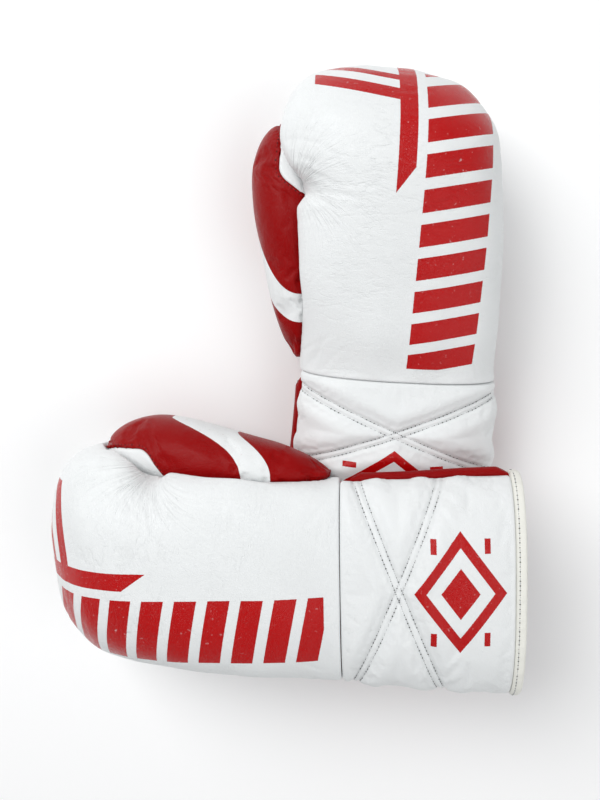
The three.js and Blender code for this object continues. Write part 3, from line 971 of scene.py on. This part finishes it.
def makeHand(side):
    rear, front, palmEnd = handShape["rear"], handShape["front"], handShape["palmEnd"]
    free, sewn = (1, 0, 1, 1), (1, 1, 1, 1)
    pieces = [
        ("back_leather", rear, front, True, free, "handWhite", "white_leather",
         ["back_shell", "knuckle_pad", "thumb_web"]),
        ("finger_leather", palmEnd + 0.2, front, False, free, "white", "white_leather",
         ["finger_shell", "finger_pad"]),
        ("palm_leather", handShape["palmRear"], palmEnd - 0.2, False, sewn, "red", "red_leather",
         ["palm_panel", "palm_pad"]),
    ]
    for name, startX, endX, upper, edges, paint, slot, nodes in pieces:
        grid = handGrid(startX, endX, handLook["step"][upper], upper, side, edges)
        rolled = rollEdges(grid, handLook["edgeRadius"], handLook["wall"], edges)
        piece = makeObject(f"{side}_{name}", side, [(rolled, gridFaces(*rolled.shape[:2]))],
                           materials[paint], handLook["leather"])
        settle(piece, side, "hand", nodes)
        for edge in {"palm_leather": (1, 0), "finger_leather": (0,)}.get(name, ()):
            stitchLine(side, "hand", *lineByEdge(grid, edge, handLook["stitchesIn"]),
                       "threadRed" if paint == "red" else "threadWhite")
    makePocket(side)
    makeGrip(side)


# The lining turns round the wrist end of the foam, then lines the pocket
lining = {
    "mouth": (124.5, 124.8, 125.4), "mouthDepth": 4.6, "mouthTurn": (0.0, 0.25, 0.6),
    "start": 126.2, "end": 287.5, "step": 3.0, "round": 97, "thickness": 1.0,
}


def makePocket(side):
    around = np.linspace(0, 1, lining["round"])
    inner = pocket.wrap(pocket.runs(lining["start"], lining["end"], lining["step"]), 0, 2 * np.pi, around)
    mouth = hand.wrap(hand.runTo(lining["mouth"]), 0, 2 * np.pi, around, lining["mouthDepth"])
    share = np.array(lining["mouthTurn"])[:, None, None]
    grid = np.concatenate([mouth * (1 - share) + inner[:1] * share, inner])[:, :-1]
    piece = makeObject(f"{side}_hand_cloth_lining", side,
                       [(grid, gridFaces(*grid.shape[:2], loop=True, flip=True))],
                       materials["lining"], lining["thickness"])
    settle(piece, side, "hand", ["hand_lining"], bends=False)


# Padded bar that the fingers close round
grip = {"x": 206, "z": 55, "half": 42, "radius": 8.8, "ripple": 0.12, "roundness": 14}


def makeGrip(side):
    turn = np.linspace(0, 2 * np.pi, 25)[:-1]
    loops = []
    for at in np.linspace(-1, 1, 41):
        y = grip["half"] * math.sin(at * math.pi / 2)
        full = min(1, max(0.02, 1 - (abs(y) / grip["half"]) ** grip["roundness"]))
        r = grip["radius"] * full + grip["ripple"] * math.sin(y * 2.1)
        loops.append([[grip["x"] + r * math.cos(t), y, grip["z"] + r * math.sin(t)] for t in turn])
    piece = makeObject(f"{side}_grip", side, [tube(loops, flip=True)], materials["grip"])
    settle(piece, side, "hand", ["grip_bar"], bends=False)


# Thumb: a red outer panel with a white stripe and a white inner panel, both over foam
thumbLook = {
    "step": 1.4, "coarse": 3.0, "edgeRadius": 1.2, "wall": 3.0, "leather": 1.0, "cap": 2.2,
    "lowEdge": -105,  # of the outer panel, in degrees
    "topEdge": (152, 78, (226, 264)),  # degrees at the root and at the tip, and where it turns
    "looser": 0.02,
    "width": {True: 120, False: 75},  # round the outer and the inner panel
    "lumps": 0.3,
    "stitchesIn": 2.6,
    "stripeShift": {"right": -6, "left": 6},  # the stripes don't lie quite alike
}


def thumbGrid(step, outer):
    runs = np.linspace(0.4, thumb.knots[-1] - 0.2, int(thumb.knots[-1] / step))
    root, tip, change = thumbLook["topEdge"]
    top = np.radians(root - (root - tip) * smooth(thumb.at(runs)[:, 0], *change))
    low = np.radians(thumbLook["lowEdge"])
    start, end = (low, top) if outer else (top, 2 * np.pi + low)
    shares = closeAtEdges(thumbLook["width"][outer], step, thumbLook["edgeRadius"])
    return thumb.wrap(runs, start, end, shares), shares


def makeThumbShapes():
    coarse, shares = thumbGrid(thumbLook["coarse"], True)
    fine, fineShares = thumbGrid(thumbLook["step"], True)
    shift = swell(coarse, heldEdges(coarse, 2, 3), thumbLook["cap"], thumbLook["looser"])
    shift = carry(shift, np.linspace(0, 1, len(coarse)), shares, np.linspace(0, 1, len(fine)), fineShares)
    return {True: fine + shift, False: thumbGrid(thumbLook["step"], False)[0]}


def makeThumb(side, shapes):
    for outer, name, paint, slot, nodes in (
            (True, "thumb_outer_leather", "thumbRed", "thumb_leather", ["thumb_outer", "thumb_pad"]),
            (False, "thumb_inner_leather", "white", "white_leather", ["thumb_inner"])):
        grid = shapes[outer]
        sink = lumps(grid, handLook["seeds"][side] + 1, thumbLook["lumps"])
        grid = grid - normalsOf(grid) * sink[..., None]
        rolled = rollEdges(grid, thumbLook["edgeRadius"], thumbLook["wall"], (0, 0, 1, 1))
        piece = makeObject(f"{side}_{name}", side, [(rolled, gridFaces(*rolled.shape[:2]))],
                           materials[paint], thumbLook["leather"])
        if outer:
            values = np.zeros(len(piece.data.vertices) * 3, np.float32)
            piece.data.attributes["cut"].data.foreach_get("vector", values)
            values[0::3] -= thumbLook["stripeShift"][side] * mm
            piece.data.attributes["cut"].data.foreach_set("vector", values)
            stitchLine(side, "thumb", *lineByEdge(grid, 3, thumbLook["stitchesIn"], 12), "threadRed")
        settle(piece, side, "thumb", nodes)
    makeStrap(side)


# Short strap that ties the thumb's tip to the fist
strap = {"x": 269, "z": 67.6, "from": 59.5, "to": 68.5, "halfWidth": 6.9, "half": 1.4, "bow": 0.04,
         "bend": (61, 67)}


def makeStrap(side):
    turn = np.linspace(0, 2 * np.pi, 21)[:-1]
    loops = []
    for y in np.linspace(strap["from"], strap["to"], 9):
        rise = strap["z"] - strap["bow"] * (y - 64) ** 2
        loops.append([[strap["x"] + strap["halfWidth"] * power(math.cos(t), 0.4), y,
                       rise + strap["half"] * power(math.sin(t), 0.6)] for t in turn])
    piece = makeObject(f"{side}_thumb_strap_leather", side, [tube(loops, flip=True)], materials["white"])
    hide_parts(f"{side}_thumb_strap")
    ends = [Vector(place(side, np.array([strap["x"], y, 67.5]))) for y in strap["bend"]]
    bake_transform(piece)


# Cuff: a padded back with a sewn cross, two lace wings, a tongue, bindings and linings
cuffLook = {
    "openEnd": 0.3, "coverEnd": 118.8, "wingEnd": 111.8,
    "seam": 84, "seamGap": 0.2,
    "step": 1.3, "coarse": 2.4,
    "width": 222, "wingWidth": 76,  # round the back and round a wing
    "leather": 1.1, "edgeRadius": 2.6,
    "middle": 6.4,  # depth where the outer leather meets the lining
    "cross": [((106, 70), (50, -74)), ((52, 68), (108, -70))],
    "rowSpacing": 4.6,
    "channel": 1.5,
    "bulge": 1.6, "bulgeAt": 13, "bulgeWidth": 6.5,  # on both sides of the cross
    "drawnIn": 1.8, "lumps": 0.25,
    "cap": 3.2, "wingCap": 1.6,  # most that the cloth swells
    "looser": 0.008, "heldRows": 5, "heldNear": 3.4,
    "wingInner": 34.4,
    "wingBulge": {"thumb_wing": 3.6, "little_wing": 1.0},
    "stitchesIn": 4.2,
}


wings = ((1, "thumb_wing"), (-1, "little_wing"))  # which side each is on


def crossDistance(points):
    near = np.full(points.shape[:-1], 1e9)
    for (ax, ay), (bx, by) in cuffLook["cross"]:
        length = math.hypot(bx - ax, by - ay)
        off = ((points[..., 0] - ax) * (by - ay) - (points[..., 1] - ay) * (bx - ax)) / length
        near = np.minimum(near, np.abs(off))
    return near


def sideAngle(runs, toward, lift=0.0):
    return cuff.angleAtHeight(runs, cuffLook["seam"] + lift, toward)


def cuffBackGrid(step):
    radius = cuffLook["edgeRadius"]
    runs, along = edgedRuns(cuff, cuffLook["openEnd"], cuffLook["coverEnd"], step, radius)
    rise = sideAngle(runs, 1, cuffLook["seamGap"])
    across = closeAtEdges(cuffLook["width"], step, radius)
    return cuff.wrap(runs, rise, np.pi - rise, across), along, across


def wingGrid(step, toward):
    radius = cuffLook["edgeRadius"]
    runs, along = edgedRuns(cuff, cuffLook["openEnd"], cuffLook["wingEnd"], step, radius)
    rise = sideAngle(runs, toward, -cuffLook["seamGap"])
    inner = cuff.angleAtWidth(runs, toward * cuffLook["wingInner"])
    across = closeAtEdges(cuffLook["wingWidth"], step, radius)
    start, end = (inner, 2 * np.pi + rise) if toward > 0 else (rise, inner)
    return cuff.wrap(runs, start, end, across), along, across


def makeCuffShapes():
    held = cuffLook["heldRows"]
    coarse, along, across = cuffBackGrid(cuffLook["coarse"])
    fixed = heldEdges(coarse, held, held) | (crossDistance(coarse) < cuffLook["heldNear"])
    shift = swell(coarse, fixed, cuffLook["cap"], cuffLook["looser"])
    fine, fineAlong, fineAcross = cuffBackGrid(cuffLook["step"])
    moved = fine + carry(shift, along, across, fineAlong, fineAcross)
    near = crossDistance(fine)
    rows = np.exp(-((near - cuffLook["rowSpacing"] / 2) ** 2)) + 0.8 * np.exp(-((near / 4.5) ** 2))
    beside = np.exp(-(((near - cuffLook["bulgeAt"]) / cuffLook["bulgeWidth"]) ** 2))
    sink = cuffLook["channel"] * rows - cuffLook["bulge"] * beside
    edge = smooth(np.minimum(fine[..., 0], cuffLook["coverEnd"] - fine[..., 0]), 0, 9)
    edge = edge * smooth(np.minimum(fineAcross, 1 - fineAcross) * cuffLook["width"], 0, 8)[None, :]
    # the seam on the thumb's side is drawn in
    seam = 1 - smooth(fineAcross * cuffLook["width"], 0, 11)
    sink = sink * edge + cuffLook["drawnIn"] * seam[None, :]
    shapes = {"back": moved - normalsOf(fine) * sink[..., None]}
    for toward, name in wings:
        coarse, along, across = wingGrid(cuffLook["coarse"], toward)
        shift = swell(coarse, heldEdges(coarse, held, held), cuffLook["wingCap"], 0.0)
        fine, fineAlong, fineAcross = wingGrid(cuffLook["step"] * 1.2, toward)
        moved = fine + carry(shift, along, across, fineAlong, fineAcross)
        fromSeam = (1 - fineAcross if toward > 0 else fineAcross) * cuffLook["wingWidth"]
        full = smooth(fromSeam, -1, 8) * (1 - smooth(fromSeam, 14, 60))
        bulge = smooth(np.minimum(fineAlong, 1 - fineAlong), 0, 0.08)[:, None] * full[None, :]
        shapes[name] = moved + normalsOf(fine) * (bulge * cuffLook["wingBulge"][name])[..., None]
    return shapes


# Outer leather of the cuff's back or of a wing, its edges turned in as far as the lining
def makeCover(side, name, grid, end, short, body, paint, nodes):
    rolled = rollEdges(grid, cuffLook["edgeRadius"], cuffLook["middle"])
    rolled = rolled[:len(rolled) - short]
    rolled[..., 0] = np.clip(rolled[..., 0], 0.1, end)
    piece = makeObject(f"{side}_{name}", side, [(rolled, gridFaces(*rolled.shape[:2]))],
                       materials[paint], cuffLook["leather"])
    settle(piece, side, body, nodes)


cuffLining = {
    "depth": 13.0, "step": 2.5, "thickness": 0.8, "width": 190, "wingWidth": 66,
    "start": 0.5, "end": 111.5, "wingEnd": 110.6,
}


def makeLining(name, side, body, endX, startAngle, endAngle, node):
    step, depth = cuffLining["step"], cuffLining["depth"]
    runs, _ = edgedRuns(cuff, cuffLining["start"], endX, step, step)
    across = closeAtEdges(cuffLining["width" if body == "cuff" else "wingWidth"], step, step)
    grid = cuff.wrap(runs, startAngle(runs), endAngle(runs), across, depth)
    rolled = rollEdges(grid, step, depth - cuffLook["middle"] - 0.3, inward=-1)
    piece = makeObject(f"{side}_{name}", side, [(rolled, gridFaces(*rolled.shape[:2], flip=True))],
                       materials["lining"], cuffLining["thickness"])
    settle(piece, side, body, [node], bends=False)


# Tape folded over the padded end of the cuff, between two angles
tape = {"pitch": 2.4, "middle": -3.2, "halfLength": 3.7, "half": 4.1, "squareness": 0.62,
        "pucker": (0.14, 0.1), "gap": 0.004, "stitchX": -1.6, "stitchOut": 0.75}


def makeBinding(name, side, body, start, end, node):
    start, end = start + tape["gap"], end - tape["gap"]
    count = max(8, int(abs(end - start) * 70 / tape["pitch"]))
    ring = cuff.wrap(cuff.runTo([-0.5, 0.5]), start, end, np.linspace(0, 1, count))
    outward = normalsOf(ring)[0]
    turn = np.linspace(0, 2 * np.pi, 33)[:-1]
    across, rise = power(np.cos(turn), tape["squareness"]), power(np.sin(turn), tape["squareness"])
    big, little = tape["pucker"]
    loops = []
    for k in range(count):
        pucker = big * math.sin(k * 1.9) + little * math.sin(k * 0.73 + 1)
        out = tape["middle"] + (tape["half"] + pucker) * rise
        loop = ring[0, k] + outward[k] * out[:, None]
        loop[:, 0] = tape["middle"] + tape["halfLength"] * across
        loops.append(loop)
    piece = makeObject(f"{side}_{name}", side, [tube(loops)], materials["binding"])
    settle(piece, side, body, [node], bends=False)
    line = ring[0] + outward * tape["stitchOut"]
    line[:, 0] = tape["stitchX"]
    stitchLine(side, body, line[1:-1], outward[1:-1])


# Height of the cuff's underside
def undersideOf(x, y):
    s = cuff.at(cuff.runTo(x))
    level = np.abs((y - (s[:, 1] + s[:, 2]) / 2) / ((s[:, 1] - s[:, 2]) / 2))
    drop = (1 - level ** s[:, 5]) ** (1 / s[:, 5])
    return (s[:, 3] + s[:, 4]) / 2 - (s[:, 3] - s[:, 4]) / 2 * drop


# Lace facing: a doubled leather band with punched holes
facing = {
    "inner": 12, "outer": 34, "length": 112, "holes": 6, "holeRadius": 2.5, "margin": 13,
    "thickness": 3.8, "worn": 0.4, "gap": 0.2, "stitchesIn": 2.6,
    "sides": 8,  # faces along each side of a patch
    "edgeSink": 0.9, "holeSink": 0.8, "sinkWidth": 1.6,
    "rings": [1, 0.75, 0.5, 0.3, 0.15, 0.05, 0],  # from a patch's rim to its hole
    "plainRings": [1, 0.7, 0.4, 0.15],
}


# A patch of the facing as flat rings, from its rim to its hole or its middle
def facingPatch(points, faces, x0, x1, halfY, hole):
    cx, sides = (x0 + x1) / 2, facing["sides"]
    count, first = 4 * sides, len(points)
    rings = facing["rings"] if hole else facing["plainRings"]
    for level in rings:
        for k in range(count):
            t = 2 * math.pi * (k - sides / 2) / count
            c, s = math.cos(t), math.sin(t)
            reach = max(abs(c), abs(s))
            rim = cx + (x1 - x0) / 2 * c / reach, halfY * s / reach
            base = (cx + facing["holeRadius"] * c, facing["holeRadius"] * s) if hole else (cx, 0)
            points.append([b + (p - b) * level for b, p in zip(base, rim)])
    for i in range(len(rings) - 1):
        for k in range(count):
            a, n = first + i * count, (k + 1) % count
            faces.append([a + k, a + n, a + count + n, a + count + k])
    if not hole:
        faces.append([first + (len(rings) - 1) * count + k for k in range(count)])


def makeFacing(side, toward, name, node):
    margin, holes, length = facing["margin"], facing["holes"], facing["length"]
    pitch = (length - 2 * margin) / (holes - 1)
    middleY = (facing["inner"] + facing["outer"]) / 2
    halfY = (facing["outer"] - facing["inner"]) / 2 - facing["gap"]
    cuts = [margin + (i - 0.5) * pitch for i in range(holes + 1)]
    points, faces = [], []
    facingPatch(points, faces, 0.3, cuts[0], halfY, False)
    for x0, x1 in zip(cuts, cuts[1:]):
        facingPatch(points, faces, x0, x1, halfY, True)
    facingPatch(points, faces, cuts[-1], cuffLook["wingEnd"], halfY, False)
    x, across = np.array(points).T
    edge = np.minimum(halfY - np.abs(across), np.minimum(x, length - x))
    hole = np.hypot((x - margin + pitch / 2) % pitch - pitch / 2, across)
    fromRim, width = hole - facing["holeRadius"], facing["sinkWidth"]
    sink = facing["edgeSink"] * np.exp(-((edge / width) ** 2))
    sink = sink + facing["holeSink"] * np.exp(-((fromRim / width) ** 2))
    y = toward * (middleY + across)
    grid = np.stack([x, y, undersideOf(x, y) + sink], -1)
    faces = [f if toward < 0 else f[::-1] for f in faces]
    piece = makeObject(f"{side}_{name}", side, [(grid, faces)], materials["facingRed"],
                       facing["thickness"], weld=2e-5)
    edges = piece.modifiers.new("worn edges", "BEVEL")
    edges.width, edges.segments, edges.limit_method = facing["worn"] * mm, 2, "ANGLE"
    body = dict(wings)[toward]
    settle(piece, side, body, [node])
    for offset in (-halfY + facing["stitchesIn"], halfY - facing["stitchesIn"]):
        x = np.linspace(4, 108, 120)
        y = np.full(120, toward * (middleY + offset))
        line = np.stack([x, y, undersideOf(x, y)], -1)
        stitchLine(side, body, line, np.tile([0, 0, -1.0], (120, 1)))


# Soft pleated fold at the wrist
wristPleat = {"from": 112.2, "to": 125.8, "middle": 119, "rings": 22, "round": 181, "depth": 4.3,
              "height": 0.9, "pitch": 5.6, "ripple": 0.25, "thickness": 1.6}


def makeWristFold(side):
    x = np.linspace(wristPleat["from"], wristPleat["to"], wristPleat["rings"])
    closed = hand.wrap(hand.runTo(x), 0, 2 * np.pi, np.linspace(0, 1, wristPleat["round"]))
    grid = closed[:, :-1]
    off = x - wristPleat["middle"]
    pleat = wristPleat["depth"] + wristPleat["height"] * np.cos(off * 2 * np.pi / wristPleat["pitch"])
    wave = np.sin(np.arange(grid.shape[1]) * 0.9)
    ripple = wristPleat["ripple"] * wave[None, :] * np.cos(off * 0.6)[:, None]
    closed = np.concatenate([grid, grid[:, :1]], 1)
    grid = grid - normalsOf(closed)[:, :-1] * (pleat[:, None] + ripple)[..., None]
    piece = makeObject(f"{side}_wrist_fold", side, [(grid, gridFaces(*grid.shape[:2], loop=True))],
                       materials["gussetRed"], wristPleat["thickness"])
    settle(piece, side, "cuff", ["wrist_gusset"])


def makeCuff(side, shapes):
    grid = shapes["back"]
    sink = lumps(grid, handLook["seeds"][side] + 3, cuffLook["lumps"])
    grid = grid - normalsOf(grid) * sink[..., None]
    # two rings short, so that the wrist end stays above the fold
    makeCover(side, "cuff_leather", grid, cuffLook["coverEnd"], 2, "cuff", "cuffWhite",
              ["cuff_cover", "cuff_pad"])
    for (ax, ay), (bx, by) in cuffLook["cross"]:
        half = cuffLook["rowSpacing"] / 2 / math.hypot(bx - ax, by - ay)
        offX, offY = (by - ay) * half, -(bx - ax) * half
        for way in (-1, 1):
            start, end = (ax + way * offX, ay + way * offY), (bx + way * offX, by + way * offY)
            stitchLine(side, "cuff", *lineFromAbove(grid, start, end))
    makeLining("cuff_cloth_lining", side, "cuff", cuffLining["end"], lambda r: sideAngle(r, 1),
               lambda r: sideAngle(r, -1), "cuff_lining")
    rim = cuff.runTo([0.0])
    first = float(sideAngle(rim, 1)[0])
    makeBinding("cuff_tape", side, "cuff", first, np.pi - first, "cuff_binding")
    for toward, wing in wings:
        grid = shapes[wing]
        makeCover(side, f"{wing}_leather", grid, cuffLook["wingEnd"] + 0.1, 0, wing, "red",
                  [f"{wing}_cover", f"{wing}_pad"])
        stitchLine(side, wing, *lineByEdge(grid, 1, cuffLook["stitchesIn"]), "threadRed")
        slit = float(cuff.angleAtWidth(rim, toward * facing["inner"])[0])
        outer = toward * facing["outer"]
        if toward > 0:
            angles = (lambda r: cuff.angleAtWidth(r, outer), lambda r: 2 * np.pi + sideAngle(r, 1))
            ends = slit, 2 * np.pi + first
        else:
            angles = (lambda r: sideAngle(r, -1), lambda r: cuff.angleAtWidth(r, outer))
            ends = np.pi - first, slit
        makeBinding(f"{wing}_tape", side, wing, *ends, f"{wing}_binding")
        makeLining(f"{wing}_cloth_lining", side, wing, cuffLining["wingEnd"], *angles, f"{wing}_lining")
        makeFacing(side, toward, f"{wing}_lace_facing", f"{wing}_facing")
    makeWristFold(side)


# Tongue: a thin padded flap behind the lace facings
tongueLook = {"start": 4.3, "end": 107.7, "halfWidth": 29.6, "top": 5.2, "thickness": 4.7, "step": 2,
              "swollen": 0.5, "edgeRadius": 2.2, "stitchesIn": 3.5}


def makeTongue(side):
    step, radius, halfWidth = tongueLook["step"], tongueLook["edgeRadius"], tongueLook["halfWidth"]
    runs, along = edgedRuns(cuff, tongueLook["start"], tongueLook["end"], step, radius)
    across = closeAtEdges(2 * halfWidth, step, radius)
    outer = cuff.wrap(runs, cuff.angleAtWidth(runs, -halfWidth), cuff.angleAtWidth(runs, halfWidth), across)
    normal = normalsOf(outer)
    puffed = np.sin(np.pi * along)[:, None] * np.cos(np.pi * (across - 0.5) * 3)[None, :] ** 2
    sunk = tongueLook["top"] + tongueLook["swollen"] - tongueLook["swollen"] * puffed
    front = outer - normal * sunk[..., None]
    back = outer - normal * (tongueLook["top"] + tongueLook["thickness"])
    half = tongueLook["thickness"] / 2 - 0.1
    rolledFront, rolledBack = rollEdges(front, half, half), rollEdges(back, half, half, inward=-1)
    rolledBack[0], rolledBack[-1] = rolledFront[0], rolledFront[-1]
    rolledBack[:, 0], rolledBack[:, -1] = rolledFront[:, 0], rolledFront[:, -1]
    piece = makeObject(f"{side}_tongue_pad", side,
                       [(rolledFront, gridFaces(*rolledFront.shape[:2])),
                        (rolledBack, gridFaces(*rolledBack.shape[:2], flip=True))],
                       materials["tongueWhite"])
    settle(piece, side, "tongue", ["tongue"])
    for edge in (2, 3):
        stitchLine(side, "tongue", *lineByEdge(front, edge, tongueLook["stitchesIn"], 5))


thumbShapes = makeThumbShapes()
print("thumb panels shaped")
cuffShapes = makeCuffShapes()
print("cuff panels shaped")
for side in gloves:
    makeHand(side)
    makeThumb(side, thumbShapes)
    makeCuff(side, cuffShapes)
    makeTongue(side)
    print(side, "glove built")
sew()
print("stitches sewn")
